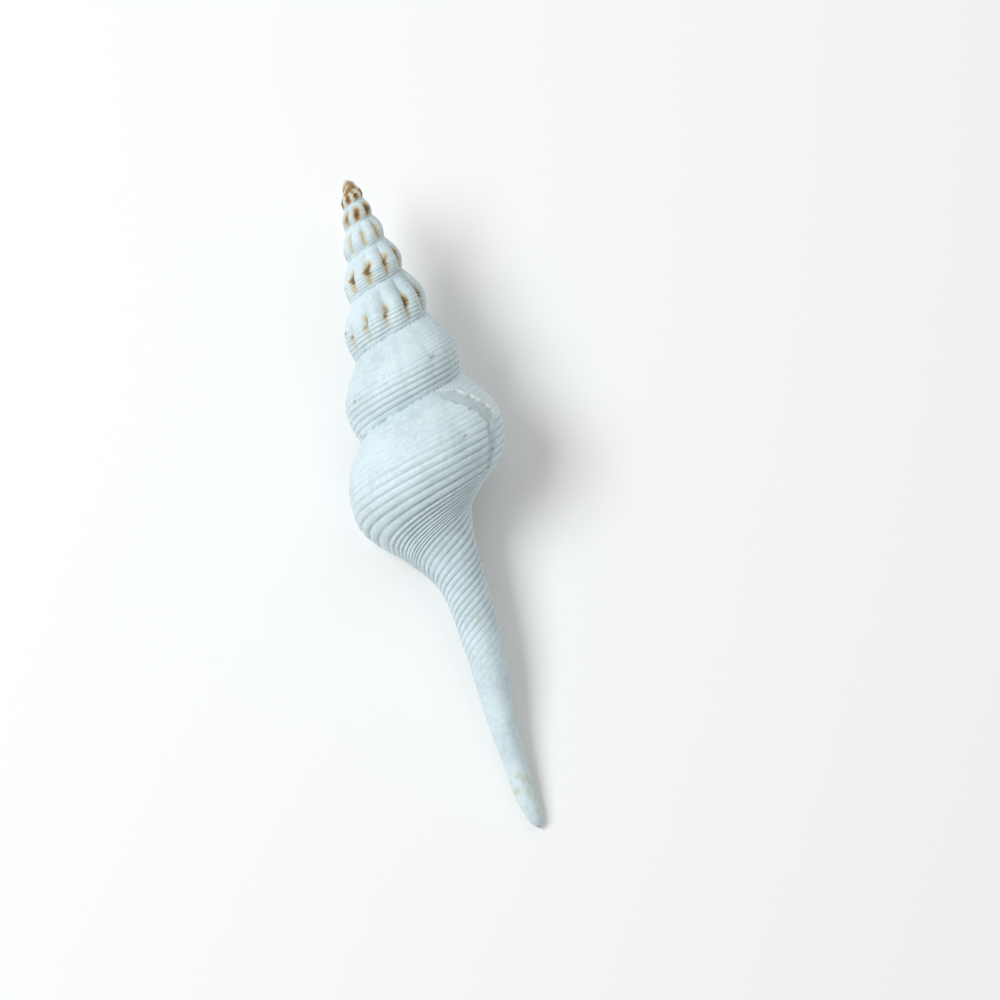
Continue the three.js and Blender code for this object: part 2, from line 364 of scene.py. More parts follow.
ROW_PLACES = row_places()
ROWS_PER_TURN = len(ROW_PLACES) - 1
whole_turns = round(LIP_TURN - FIRST_TURN)
strip = grid_of(body, whole_turns * ROWS_PER_TURN, len(STRIP_COLUMNS) - 1)
for row, line in enumerate(strip):
    whorl, own_row = divmod(row, ROWS_PER_TURN)
    turn = FIRST_TURN + whorl + ROW_PLACES[own_row]
    for vert, (across, cord) in zip(line, STRIP_COLUMNS):
        lay(vert, skin_place(turn, across), turn, across, cord, 1.0)

lower = grid_of(body, ROWS_PER_TURN, len(LOWER_COLUMNS) - 1)
for row, line in enumerate(lower):
    back = 1 - ROW_PLACES[row]
    for vert, (across, cord) in zip(line, LOWER_COLUMNS):
        reach = 1 - SLIT_TURNS * slit_share(across)
        turn = LIP_TURN + canal_twist(across) - back * reach
        lay(vert, skin_place(turn, across), turn, across, cord, 1.0)
print("skin:", len(body.verts), "vertices")

# %% [markdown]
# ## The worn apex
# The first turn starts at nothing on a young snail, and the sea wears it to a blunt knob. The
# open edges of the first turn are extruded inwards and up in two rings, which makes a dome, and a
# last ring is merged to one vertex on the axis.

# %% Apex
APEX_RINGS = ((0.30, 0.50), (0.45, 0.30))
apex_place = shell_place(FIRST_TURN, 0.35, 0.0)
rim = [line[0] for line in strip[:ROWS_PER_TURN + 1]]
first_line = strip[0]
open_loop = set(rim) | set(first_line)
loop_edges = [e for e in body.edges if e.is_boundary and set(e.verts) <= open_loop]
for inward, upward in APEX_RINGS + ((1.0, 0.0),):
    ring = bmesh.ops.extrude_edge_only(body, edges=loop_edges)["geom"]
    ring_verts = [g for g in ring if isinstance(g, bmesh.types.BMVert)]
    loop_edges = [g for g in ring if isinstance(g, bmesh.types.BMEdge)
                  and all(v in set(ring_verts) for v in g.verts)]
    for vert in ring_verts:
        vert.co = vert.co.lerp(apex_place, inward) + Vector((0, upward, 0))
        lay(vert, vert.co.copy(), FIRST_TURN, 0.5, 0.5, 1.0)
bmesh.ops.pointmerge(body, verts=ring_verts, merge_co=apex_place)
print("apex closed in", len(APEX_RINGS) + 1, "rings of", len(ring_verts))

# %% [markdown]
# ## The living chamber and the lip
# Behind the lip the wall is a little over a millimetre thick, and the snail lived in the room
# inside. Solidify could thicken the skin, but it would fill the narrow canal and cross itself at
# the sutures. So the inside is two more grids that start at the two sides of the opening: one
# follows the inside of the outer wall from the lip's edge, the other follows the whorl inside it,
# which a smooth glaze covers. Both go back half a turn and end blind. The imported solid's hollow
# goes on for three turns, because its weight depends on that.

# %% Walls behind the lip
WALL = 1.35
LIP_WALL_SHARE = 0.30
GLAZE = 0.35
CHAMBER_TURNS = 0.5


def in_from_lip(share):
    """How far back and how deep under the skin the wall's inside is, from a rounded lip edge."""
    back = CHAMBER_TURNS * share ** 2.2
    rounding, thickening = ease(share / 0.06), ease(share / 0.45)
    return back, WALL * mix(thickening, rounding, LIP_WALL_SHARE)


def wall_inside(across, share):
    back, deep = in_from_lip(share)
    turn = LIP_TURN + canal_twist(across) - back
    return skin_place(turn, across) - skin_out(turn, across) * deep * ease(across / 0.25)


def glazed_inside(across, share):
    back, _ = in_from_lip(share)
    turn = LIP_TURN - 1 + canal_twist(across) - back
    glaze = GLAZE * ease(share / 0.1) * ease((across - 1) / 0.15)
    return skin_place(turn, across) + skin_out(turn, across) * glaze


print("wall behind the lip, mm:", [round(in_from_lip(k / 4)[1], 2) for k in range(5)])

# %% [markdown]
# ## The canal's groove
# On the canal the two grids meet in a round groove that stays open along its slit. The snail
# drew water in along it. Each growth line goes down one wall of the slit, then half way round
# the groove. A last test draws any place that would break through the skin back towards the
# axis, so the wall keeps its cover.

# %% Groove and cover
GROOVE_BULB = 0.42
GROOVE_CENTRE = 0.18
SLIT_WALL_SHARE = 0.25


def held_inside(place, cover):
    """The place, drawn towards the axis until the visible skin covers it."""
    down = SHELL_LENGTH / 2 - place.y
    sway = through(AXIS_SWAY, down)
    angle = math.atan2(place.z, place.x - sway)
    whole = (angle / math.pi - 1) / 2
    turn = LIP_TURN - (LIP_TURN - whole) % 1
    while down < suture_down(turn):
        turn -= 1
    radius = math.hypot(place.z, place.x - sway)
    limit = max(0.2, skin_radius(turn, down) - cover)
    if radius <= limit:
        return place
    return shell_place(turn, down, limit)


def groove_place(edge, share, side):
    """The canal's groove: from the skin's edge down one slit wall, then half the round bulb."""
    down = SHELL_LENGTH / 2 - edge.y
    radius = through(CANAL_RADIUS, down)
    across = 2 + (down - NECK_SCALE + POLE_ABOVE_APEX) / (SHELL_LENGTH - NECK_SCALE
                                                          + POLE_ABOVE_APEX)
    half_slit = math.pi * SLIT_TURNS * slit_share(across)
    middle = math.pi * (1 + 2 * (LIP_TURN + canal_twist(across))) + half_slit
    bulb = GROOVE_BULB * radius
    mouth = math.asin(min(0.9, 0.92 * radius * math.sin(half_slit) / max(bulb, 1e-6)))
    swing = mix(mouth, math.pi, max(0.0, share - SLIT_WALL_SHARE) / (1 - SLIT_WALL_SHARE))
    far_way = Vector((math.cos(middle), 0, math.sin(middle)))
    side_way = Vector((-math.sin(middle), 0, math.cos(middle))) * side
    centre = Vector((through(AXIS_SWAY, down), edge.y, 0))
    place = centre + far_way * (GROOVE_CENTRE * radius + bulb * math.cos(swing))
    place += side_way * bulb * math.sin(swing)
    return edge.lerp(place, min(1.0, share / SLIT_WALL_SHARE))


print("groove across at the neck, mm:", round(2 * GROOVE_BULB * through(CANAL_RADIUS, 100), 1))

# %% [markdown]
# ## Laying the inside
# Down the shell, the places change smoothly from those of the chamber to those of the groove, so
# the opening runs into the canal without a seam.

# %% The two inside grids
INSIDE_STEPS = 24
CANAL_STARTS = 70
CANAL_IS_CLOSED = 98
THINNEST = 0.8


def lay_inside(grid, edge_line, places, wall_place, turn, side):
    """Each column starts on the skin's edge and goes in, as a wall or as the canal's groove."""
    for column, (across, _) in enumerate(places):
        edge = edge_line[column].co.copy()
        down = SHELL_LENGTH / 2 - edge.y
        canal = ease((down - CANAL_STARTS) / (CANAL_IS_CLOSED - CANAL_STARTS))
        grid[0][column].co = edge
        lay(grid[0][column], edge, turn, across)
        for step in range(1, INSIDE_STEPS + 1):
            share = step / INSIDE_STEPS
            place = wall_place(across, share).lerp(groove_place(edge, share, side), canal)
            cover = THINNEST * ease(share / 0.1)
            lay(grid[step][column], held_inside(place, cover), turn, across)


outer_inside = grid_of(body, INSIDE_STEPS, len(ALL_COLUMNS) - 1)
lay_inside(outer_inside, strip[-1] + lower[-1][1:], ALL_COLUMNS, wall_inside, LIP_TURN, -1)
inner_inside = grid_of(body, INSIDE_STEPS, len(LOWER_COLUMNS) - 1)
lay_inside(inner_inside, lower[0], LOWER_COLUMNS, glazed_inside, LIP_TURN - 1, 1)
print("with the inside:", len(body.verts), "vertices")

# %% [markdown]
# ## Welding
# The grids meet at the sutures, at the lip, along the inner lip and at the canal tip. The inside
# starts exactly on the skin's own edge, so merging doubles joins them, and the far end of the
# chamber is filled.

# %% Weld
WELD = 0.004
bmesh.ops.remove_doubles(body, verts=body.verts, dist=WELD)
bmesh.ops.dissolve_degenerate(body, edges=body.edges, dist=WELD / 2)
open_edges = [e for e in body.edges if e.is_boundary]
print("open edges before filling:", len(open_edges))
filled = bmesh.ops.holes_fill(body, edges=open_edges, sides=0)
bmesh.ops.triangulate(body, faces=filled["faces"])
bmesh.ops.recalc_face_normals(body, faces=body.faces)
print("open edges left:", sum(e.is_boundary for e in body.edges),
      "edges of 3 or more faces:", sum(len(e.link_faces) > 2 for e in body.edges),
      "volume cm3:", round(body.calc_volume(signed=True) / 1000, 1))

# %% [markdown]
# ## The old break
# This snail once lost a piece of its lip, and the mended place shows as a jagged white line with
# a low, bare band beside it, where the cords stop and start again. Two lines give, for each
# `across`, the turn of the white line and the turn where the new cords begin.

# %% The mended lip
BREAK_LINE = [(0.0, -0.322), (0.086, -0.371), (0.19, -0.396), (0.32, -0.42), (0.45, -0.432),
              (0.52, -0.430), (0.57, -0.412), (0.75, -0.405), (1.2, -0.39)]
NEW_CORDS_LINE = [(0.0, -0.308), (0.117, -0.332), (0.41, -0.384), (0.545, -0.392),
                  (0.8, -0.384), (1.2, -0.372)]
BREAK_RIDGE = 0.30
BREAK_HOLLOW = 0.42
BREAK_TURNS = (-0.6, -0.2)
JAG_TURNS = 0.007


def jagged(across, seed):
    return JAG_TURNS * noise.noise(Vector((across * 26, seed, 0.5)))


def break_offset(turn, across):
    """Turns past the white line, and past the line where the new cords begin."""
    past_line = turn - through(BREAK_LINE, across) - jagged(across, 1.5)
    past_cords = turn - through(NEW_CORDS_LINE, across) - 1.6 * jagged(across, 7.5)
    return past_line, past_cords


def break_strength(turn, across):
    near = 1 if BREAK_TURNS[0] < turn < BREAK_TURNS[1] else 0
    return near * ease((1.25 - across) / 0.4) * ease((across + 0.02) / 0.05)


def ridge_strength(turn, across):
    return break_strength(turn, across) * ease((0.66 - across) / 0.12)


def bare_share(turn, across):
    """How bare of cords a place beside the break is."""
    past_line, past_cords = break_offset(turn, across)
    started = ease((past_line + 0.012) / 0.012)
    return break_strength(turn, across) * started * ease((0.002 - past_cords) / 0.005)


print("the break starts at turn", BREAK_LINE[0][1])

# %% [markdown]
# ## Relief
# Cords, ribs, sutures and the old break are all small heights on the smooth skin, in millimetres
# that grow with the whorl. A displacement texture could hold them, but numbers for each vertex
# make real geometry, which keeps its shape from every side and in an exported mesh.

# %% Heights
CORD_HEIGHT = [(0.0, 0.07), (0.1, 0.20), (0.42, 0.23), (0.6, 0.31), (1.0, 0.44), (1.5, 0.50),
               (2.0, 0.42), (2.3, 0.20), (2.54, 0.04), (3.0, 0.0)]
RIB_HEIGHT = 0.15
FADED_RIB_HEIGHT = 0.20
RIBS_FADE_FROM = -2.1
RIBS_FADE_OVER = 0.7
SUTURE_DEPTH = 0.05
SUTURE_WIDTH = 0.035
BREAK_RIDGE_WIDTH = 0.0036
SWELL_HEIGHT = 0.10


def whorl_size(turn):
    return GROWTH_PER_TURN ** min(0.0, turn)


def ridge_shape(cord):
    return abs(math.sin(math.pi * cord)) ** 0.6


def rib_crest(turn):
    return abs(math.sin(math.pi * through(RIB_COUNTS, turn))) ** 0.8


def rib_fade(turn):
    return 1 - ease((turn - RIBS_FADE_FROM) / RIBS_FADE_OVER)


def relief(turn, across, cord):
    size = whorl_size(turn)
    past_line, past_cords = break_offset(turn, across)
    mended = break_strength(turn, across)
    bare = bare_share(turn, across)
    hollow = mended * ease((past_line - 0.001) / 0.005) * ease((0.002 - past_cords) / 0.005)
    uneven = 0.85 + 0.6 * noise.noise(Vector((across * 26, turn * 3, 0)))
    height = through(CORD_HEIGHT, across) * size ** 0.75 * (ridge_shape(cord) - 1) * uneven
    height *= 1 - 0.8 * bare
    if across < 1:
        arch = math.sin(math.pi * across) ** 0.8
        radius = periphery_radius(turn)
        height += RIB_HEIGHT * radius * rib_fade(turn) * (rib_crest(turn) - 1) * arch
        height += FADED_RIB_HEIGHT * (1 - rib_fade(turn)) * (rib_crest(turn) - 1) * arch
    suture = math.exp(-(across / SUTURE_WIDTH) ** 2)
    if turn < LIP_TURN - 1:
        suture += math.exp(-((1 - across) / SUTURE_WIDTH) ** 2)
    height -= SUTURE_DEPTH * whorl_size(turn + across) * min(1.0, suture)
    height -= BREAK_HOLLOW * hollow * ease((across - 0.02) / 0.12)
    crest = math.exp(-(past_line / BREAK_RIDGE_WIDTH) ** 2)
    height += BREAK_RIDGE * ridge_strength(turn, across) * crest
    height += SWELL_HEIGHT * size * noise.noise(Vector((turn * 9, across * 3, 4.2)))
    return height


print("height on a cord and in its groove, mm:", round(relief(-0.25, 0.7, 0.5), 2),
      round(relief(-0.25, 0.7, 0.0), 2))

# %% [markdown]
# ## Pushing the relief out
# Each skin vertex moves by its height along its own normal. Moving away from the axis instead
# would flatten the cords under the base, where the skin faces down the shell. All the heights are
# worked out before any vertex moves. At the skin's own edges they are kept small, so that the
# edges still meet the inside walls neatly.

# %% Moving the skin
EDGE_SHARE = 0.3
SMOOTH_TIP_FROM = 2.97


def beside_inside(vert):
    return any(edge.other_vert(vert)[SKIN] < 0.5 for edge in vert.link_edges)


body.normal_update()
moves = {}
for vert in body.verts:
    if vert[SKIN] < 0.5:
        continue
    calm = EDGE_SHARE if beside_inside(vert) else 1.0
    near_tip = ease((SMOOTH_TIP_FROM - vert[ACROSS]) / 0.1)
    moves[vert] = calm * near_tip * relief(vert[TURN], vert[ACROSS], vert[CORD])
for vert, height in moves.items():
    vert.co += vert.normal * height
print("relief from", round(min(moves.values()), 2), "to", round(max(moves.values()), 2), "mm")

# %% [markdown]
# ## Where the colour goes
# The shell's colours are in its skin. The strongest is a brown stain in the hollows between the
# early ribs, darkest where it crosses a cord. A picture could be wrapped round the shell, but it
# would have to be painted and would stretch on a spiral. Here each colour is one number for each
# vertex, worked out from its turn and its place across, and it stays put when the shell is moved.

# %% The brown stain
STAIN_WIDTH = [(-6.9, 0.36), (-5.0, 0.33), (-4.2, 0.22), (-3.2, 0.21), (-2.2, 0.16),
               (-1.7, 0.12)]
STAIN_STRENGTH = [(-6.9, 1.0), (-6.3, 1.05), (-5.6, 1.05), (-5.25, 1.05), (-4.7, 0.85),
                  (-4.25, 0.66), (-3.7, 0.8), (-3.25, 0.9), (-2.7, 0.75), (-2.25, 0.62),
                  (-1.9, 0.5), (-1.72, 0.3), (-1.6, 0.0)]
STAIN_AGE = [(-6.9, 1.1), (-5.25, 1.2), (-4.25, 0.5), (-3.25, 1.3), (-2.25, 1.7), (-1.7, 1.0)]
DARK_PART = [(0.0, 0.3), (0.3, 0.6), (0.45, 1.0), (0.66, 1.0), (0.8, 0.45), (1.0, 0.1)]


def stain_at(turn, across):
    wander = 0.12 * noise.noise(Vector((across * 7, turn * 2, 3.3)))
    count = through(RIB_COUNTS, turn) + wander
    beside = count - round(count)
    own = 0.78 + 0.45 * noise.noise(Vector((round(count) * 1.7, 0.2, 0.9)))
    line = math.exp(-(beside / through(STAIN_WIDTH, turn)) ** 2)
    young = ease((turn + 4.2) / 1.2)
    window = ease((across - 0.15 * young) / 0.35) * ease((1.0 - across) / 0.16)
    window *= 1 - 0.35 * young * ease((across - 0.62) / 0.1)
    return clamp(own * line * window * through(STAIN_STRENGTH, turn))


print("stain half way down a whorl, turn -3.2 to -3.0:",
      [round(stain_at(-3.2 + k / 20, 0.5), 2) for k in range(5)])

# %% [markdown]
# ## Film and small marks
# A thin yellow green film clings near the canal's tip, and here and there is a brown speck or a
# pale smear. Noise would scatter them anywhere. They sit at places of their own, so each is a
# soft spot with its turn, its place across, its two sizes and its strength.

# %% Film and marks
FILM_PATCHES = [(137.0, 139.2, 0.8), (140.6, 142.4, 1.0), (144.6, 146.0, 0.9)]
EDGE_FILM = (117.0, 131.0)
SPECKS = [(-1.334, 0.542, 0.013, 0.035, 1.0), (-1.087, 0.565, 0.010, 0.03, 1.0),
          (-0.33, 0.542, 0.008, 0.02, 1.0), (-1.033, 0.958, 0.010, 0.02, 1.0),
          (-2.03, 0.5, 0.02, 0.05, 1.0)]
SMEARS = [(-0.264, 0.52, 0.008, 0.05, 0.55), (-0.262, 0.61, 0.007, 0.03, 0.35),
          (-0.269, 2.308, 0.03, 0.02, 0.6)]


def film_at(turn, down):
    edge = 1.1 * math.sin(math.tau * (turn * 2 + 0.1)) + noise.noise(Vector((turn * 9, down, 7)))
    bands = max(strength * ease((down - start - edge) / 0.8) * ease((end + edge - down) / 0.8)
                for start, end, strength in FILM_PATCHES)
    start, end = EDGE_FILM
    side = math.exp(-((turn + 0.47) / 0.035) ** 2)
    return max(bands, side * ease((down - start) / 3) * ease((end - down) / 3))


def marked(marks, turn, across):
    """The strength of the strongest of these marks here."""
    return max(strength * math.exp(-((turn - at_turn) / along) ** 2
                                   - ((across - at_across) / wide) ** 2)
               for at_turn, at_across, along, wide, strength in marks)


print("marks:", len(SPECKS), "specks and", len(SMEARS), "smears")

# %% [markdown]
# ## Filling the layers
# The painted shade in the grooves between cords and the smooth cream glaze in the opening complete
# the set. One pass over the vertices fills every layer. The knob at the apex is worn, so its stain
# is patchy and follows no rib.

# %% Colour layers
# How much painted shade goes into the grooves between cords, by place across.
GROOVE_SHADE = [(0.0, 0.15), (0.1, 0.3), (0.42, 0.4), (0.6, 0.7), (1.0, 0.95), (2.2, 0.9),
               (2.5, 0.4), (2.6, 0.1)]
WORN_APEX = 3.4
STAIN = body.verts.layers.float.new("stain")
STAIN_DARK = body.verts.layers.float.new("stain_dark")
GROOVE = body.verts.layers.float.new("groove")
GLAZED = body.verts.layers.float.new("glazed")
FILM = body.verts.layers.float.new("film")
MENDED = body.verts.layers.float.new("mended")
BARE = body.verts.layers.float.new("bare")
SPECK = body.verts.layers.float.new("speck")
for vert in body.verts:
    turn, across, cord = vert[TURN], vert[ACROSS], vert[CORD]
    on_skin = vert[SKIN] > 0.5
    vert[GLAZED] = 0.0 if on_skin else ease((across - 0.02) / 0.1)
    if not on_skin:
        continue
    stain = stain_at(turn, across) if across < 1.001 else 0.0
    vert[STAIN] = stain
    heart = (0.45 + 0.55 * ridge_shape(cord)) * through(DARK_PART, across)
    vert[STAIN_DARK] = clamp(stain * heart * through(STAIN_AGE, turn))
    # Painted shade: each groove between cords is darkened, most at its bottom.
    vert[GROOVE] = (1 - ridge_shape(cord)) * through(GROOVE_SHADE, across)
    down = SHELL_LENGTH / 2 - vert.co.y
    vert[FILM] = max(marked(SMEARS, turn, across), film_at(turn, down))
    vert[SPECK] = marked(SPECKS, turn, across)
    if down < WORN_APEX:
        vert[STAIN] = clamp(0.55 + 0.9 * noise.noise(vert.co * 0.9))
        vert[STAIN_DARK] = 0.6 * vert[STAIN]
    past_line, past_cords = break_offset(turn, across)
    vert[MENDED] = ridge_strength(turn, across) * math.exp(-(past_line / 0.0042) ** 2)
    vert[BARE] = bare_share(turn, across)
print("stained vertices:", sum(v[STAIN] > 0.3 for v in body.verts))

# %% [markdown]
# ## Laying it down
# A shell put down on a table rolls onto its opening and tips until its swollen body, its lip and
# the end of its canal all touch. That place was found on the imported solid. Here the fine shell is
# turned the same way and moved by the same three distances, then scaled from millimetres, so its
# object can stay at the origin, unturned and unscaled. The relief may stand a tenth of a
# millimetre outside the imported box, and a last very small shrink takes it back in.

# %% The shell as an object
AXIS_MIDDLE = Vector((0.6397, 0.0581, 13.3101))
bmesh.ops.transform(body, matrix=Matrix.Translation(AXIS_MIDDLE) @ RESTING, verts=body.verts)
bmesh.ops.scale(body, vec=(MM, MM, MM), verts=body.verts)


def corners(verts):
    return [(min(v.co[k] for v in verts), max(v.co[k] for v in verts)) for k in range(3)]


room = list(zip(*packed_box))
shrink = [min(1.0, (far - near) / (high - low))
          for (near, far), (low, high) in zip(room, corners(body.verts))]
bmesh.ops.scale(body, vec=shrink, verts=body.verts)
nudge = [max(near - low, 0) + min(far - high, 0)
         for (near, far), (low, high) in zip(room, corners(body.verts))]
bmesh.ops.translate(body, vec=nudge, verts=body.verts)
print("shrunk by", [round(1 - s, 4) for s in shrink], "moved, mm:", [round(n / MM, 2) for n in nudge])
shell_mesh = bpy.data.meshes.new("grown_shell")
body.to_mesh(shell_mesh)
body.free()
shell_mesh.shade_smooth()
shell = bpy.data.objects.new("grown_shell", shell_mesh)
bpy.context.scene.collection.objects.link(shell)
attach(shell, "root")
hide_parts(SHELL_NODE)
print("fine shell:", sum(len(face.vertices) - 2 for face in shell_mesh.polygons), "triangles")

# %% [markdown]
# ## Shell material
# A dead shell is chalky lime: white with a cool cast, satin rather than glossy, with faint lines
# across the cords where each day's growth ended. One material does it all. The colour starts
# from two whites, then takes the growth lines, the painted shade in the grooves, the stain, the
# film and the glaze, one mix after another. A single painted picture would blur up close; nodes do
# not.

# %% Node helpers
shell_paint = bpy.data.materials.new("sea_worn_shell")
shell_paint.use_nodes = True
nodes = shell_paint.node_tree.nodes
links = shell_paint.node_tree.links
principled = nodes["Principled BSDF"]


def attribute(name):
    node = nodes.new("ShaderNodeAttribute")
    node.attribute_name = name
    return node.outputs["Fac"]


def feed(socket, value):
    if isinstance(value, bpy.types.NodeSocket):
        links.new(value, socket)
    else:
        socket.default_value = value


def calc(operation, first, second=0.0, third=0.0):
    node = nodes.new("ShaderNodeMath")
    node.operation = operation
    for socket, value in zip(node.inputs, (first, second, third)):
        feed(socket, value)
    return node.outputs[0]


def spread(value, low, high, to_low=0.0, to_high=1.0):
    """The value stretched from low..high to to_low..to_high, softly, and held past both ends."""
    node = nodes.new("ShaderNodeMapRange")
    node.interpolation_type = "SMOOTHSTEP"
    for socket, number in zip(node.inputs, (value, low, high, to_low, to_high)):
        feed(socket, number)
    return node.outputs[0]


def tint(mask, under, over):
    node = nodes.new("ShaderNodeMix")
    node.data_type = "RGBA"
    feed(node.inputs["Factor"], mask)
    feed(node.inputs["A"], under if isinstance(under, bpy.types.NodeSocket) else (*under, 1.0))
    feed(node.inputs["B"], over if isinstance(over, bpy.types.NodeSocket) else (*over, 1.0))
    return node.outputs["Result"]


object_place = nodes.new("ShaderNodeTexCoord").outputs["Object"]


def speckle(scale, detail=3.0, roughness=0.55):
    """Noise on the shell itself: scale is in lumps for each metre."""
    node = nodes.new("ShaderNodeTexNoise")
    feed(node.inputs["Vector"], object_place)
    node.inputs["Scale"].default_value = scale
    node.inputs["Detail"].default_value = detail
    node.inputs["Roughness"].default_value = roughness
    return node.outputs["Fac"]


def growth_lines(per_turn, detail, wobble):
    """Noise along the growth only, so its streaks run across the cords."""
    node = nodes.new("ShaderNodeTexNoise")
    node.noise_dimensions = "1D"
    wandering = calc("MULTIPLY_ADD", speckle(120, 2.0), wobble, attribute("turn"))
    feed(node.inputs["W"], wandering)
    node.inputs["Scale"].default_value = per_turn
    node.inputs["Detail"].default_value = detail
    return node.outputs["Fac"]


print("material:", shell_paint.name)

# %% [markdown]
# ## Whites
# First come blotches a centimetre across, then small chalky and grey spots, then growth lines,
# and last the grey painted shade in the grooves between cords. Each stage is one noise texture,
# stretched to a mask, because noise at several sizes is what keeps a white from looking flat.

# %% Whites and growth lines
BRIGHT_WHITE = (0.67, 0.78, 0.825)
COOL_WHITE = (0.555, 0.66, 0.70)
CHALK_WHITE = (0.78, 0.85, 0.87)
LINE_GREY = (0.45, 0.54, 0.56)
# The grey of the painted shade in the grooves between cords.
GROOVE_SHADE_GREY = (0.28, 0.375, 0.40)
blotches = spread(speckle(90, 4.0), 0.35, 0.68)
whites = tint(blotches, BRIGHT_WHITE, COOL_WHITE)
chalk_spots = calc("MULTIPLY", spread(speckle(900, 5.0, 0.75), 0.46, 0.64), 0.55)
whites = tint(chalk_spots, whites, CHALK_WHITE)
grey_spots = calc("MULTIPLY", spread(speckle(700, 5.0, 0.75), 0.52, 0.68), 0.30)
whites = tint(grey_spots, whites, LINE_GREY)
fine_lines = growth_lines(46, 3.0, 0.02)
line_mask = calc("MULTIPLY", spread(fine_lines, 0.5, 0.8), 0.12)
whites = tint(line_mask, whites, LINE_GREY)
# Painted shade: the grooves between cords are tinted grey, broken up a little by noise.
groove_shade_mask = calc("MULTIPLY", spread(attribute("groove"), 0.2, 0.9),
                   spread(speckle(260), 0.3, 0.7, 0.42, 0.82))
whites = tint(groove_shade_mask, whites, GROOVE_SHADE_GREY)
print("white stages:", len(nodes), "nodes")

# %% [markdown]
# ## Browns, film and bare places
# The stain has ragged edges. Adding noise to its mask before it is sharpened breaks the edge up
# into the small tongues and islands that the real stain has. A second, tighter mask makes its
# heart darker. The film, the specks and the mended lip are laid on in the same way.

# %% Stain, film and small marks
TAN = (0.55, 0.395, 0.13)
ORANGE_BROWN = (0.33, 0.145, 0.022)
DARK_BROWN = (0.135, 0.066, 0.008)
FILM_GREEN = (0.52, 0.50, 0.20)
MEND_WHITE = (0.87, 0.89, 0.885)
# The grey of the painted shade on the low bare band beside the old break.
BARE_BAND_SHADE = (0.40, 0.475, 0.475)
SPECK_BROWN = (0.26, 0.22, 0.11)
ragged = calc("MULTIPLY_ADD", speckle(900, 3.0, 0.65), 0.55, -0.275)
stain_amount = calc("ADD", attribute("stain"), ragged)
tan_mask = calc("MULTIPLY", spread(stain_amount, 0.05, 0.45),
                spread(attribute("stain"), 0.02, 0.12))
brown_mask = spread(stain_amount, 0.42, 0.86)
dark_amount = calc("ADD", attribute("stain_dark"), ragged)
dark_mask = calc("MULTIPLY", spread(dark_amount, 0.36, 0.86),
                 spread(attribute("stain"), 0.1, 0.3))
colour = tint(calc("MULTIPLY", tan_mask, 0.62), whites, TAN)
colour = tint(calc("MULTIPLY", brown_mask, 0.85), colour, ORANGE_BROWN)
colour = tint(calc("MULTIPLY", dark_mask, 0.88), colour, DARK_BROWN)
soft_edge = calc("MULTIPLY", ragged, 0.35)
film_mask = calc("MULTIPLY", spread(calc("ADD", attribute("film"), soft_edge), 0.1, 0.9), 0.42)
colour = tint(film_mask, colour, FILM_GREEN)
speck_mask = calc("MULTIPLY", spread(calc("ADD", attribute("speck"), ragged), 0.3, 0.9), 0.6)
colour = tint(speck_mask, colour, SPECK_BROWN)
# Painted shade: the low bare band beside the old break, where the cords stop, is greyed.
colour = tint(calc("MULTIPLY", attribute("bare"), 0.45), colour, BARE_BAND_SHADE)
colour = tint(calc("MULTIPLY", attribute("mended"), 0.85), colour, MEND_WHITE)
print("with stain:", len(nodes), "nodes")

# %% [markdown]
# ## Glaze, gloss and fine relief
# The glaze inside the opening is warmer and smoother than the outside. The bump adds only what is
# finer than the mesh: chalky pits and growth lines, a few hundredths of a millimetre high. A
# little light goes under the surface, which softens a thin white shell.

# %% Glaze, gloss and fine relief
GLAZE_CREAM = (0.86, 0.83, 0.77)
PIT_HEIGHT = 0.00003
LINE_HEIGHT = 0.000012
glaze_mask = attribute("glazed")
colour = tint(glaze_mask, colour, GLAZE_CREAM)
feed(principled.inputs["Base Color"], colour)
dull = spread(speckle(420), 0.3, 0.7, 0.42, 0.60)
feed(principled.inputs["Roughness"], calc("MULTIPLY_ADD", glaze_mask, -0.2, dull))
principled.inputs["Specular IOR Level"].default_value = 0.45
principled.inputs["Subsurface Weight"].default_value = 0.10
principled.inputs["Subsurface Radius"].default_value = (0.0018, 0.0016, 0.0014)
principled.inputs["Subsurface Scale"].default_value = 1.0
outside = calc("SUBTRACT", 1.0, glaze_mask)
pits = calc("MULTIPLY", speckle(1600, 3.0, 0.6), PIT_HEIGHT)
line_relief = calc("MULTIPLY", growth_lines(70, 2.0, 0.02), LINE_HEIGHT)
height = calc("MULTIPLY", calc("ADD", pits, line_relief), outside)
bump = nodes.new("ShaderNodeBump")
bump.inputs["Distance"].default_value = 1.0
bump.inputs["Strength"].default_value = 0.8
feed(bump.inputs["Height"], height)
feed(principled.inputs["Normal"], bump.outputs["Normal"])
shell_mesh.materials.append(shell_paint)
print("finished:", len(nodes), "nodes,", len(links), "links")

# %% [markdown]
# ## Floor
# The shell lies on a plain pale floor, one square far larger than the view. It is a hair below
# the shell's lowest point, so that the two surfaces never flicker into each other.

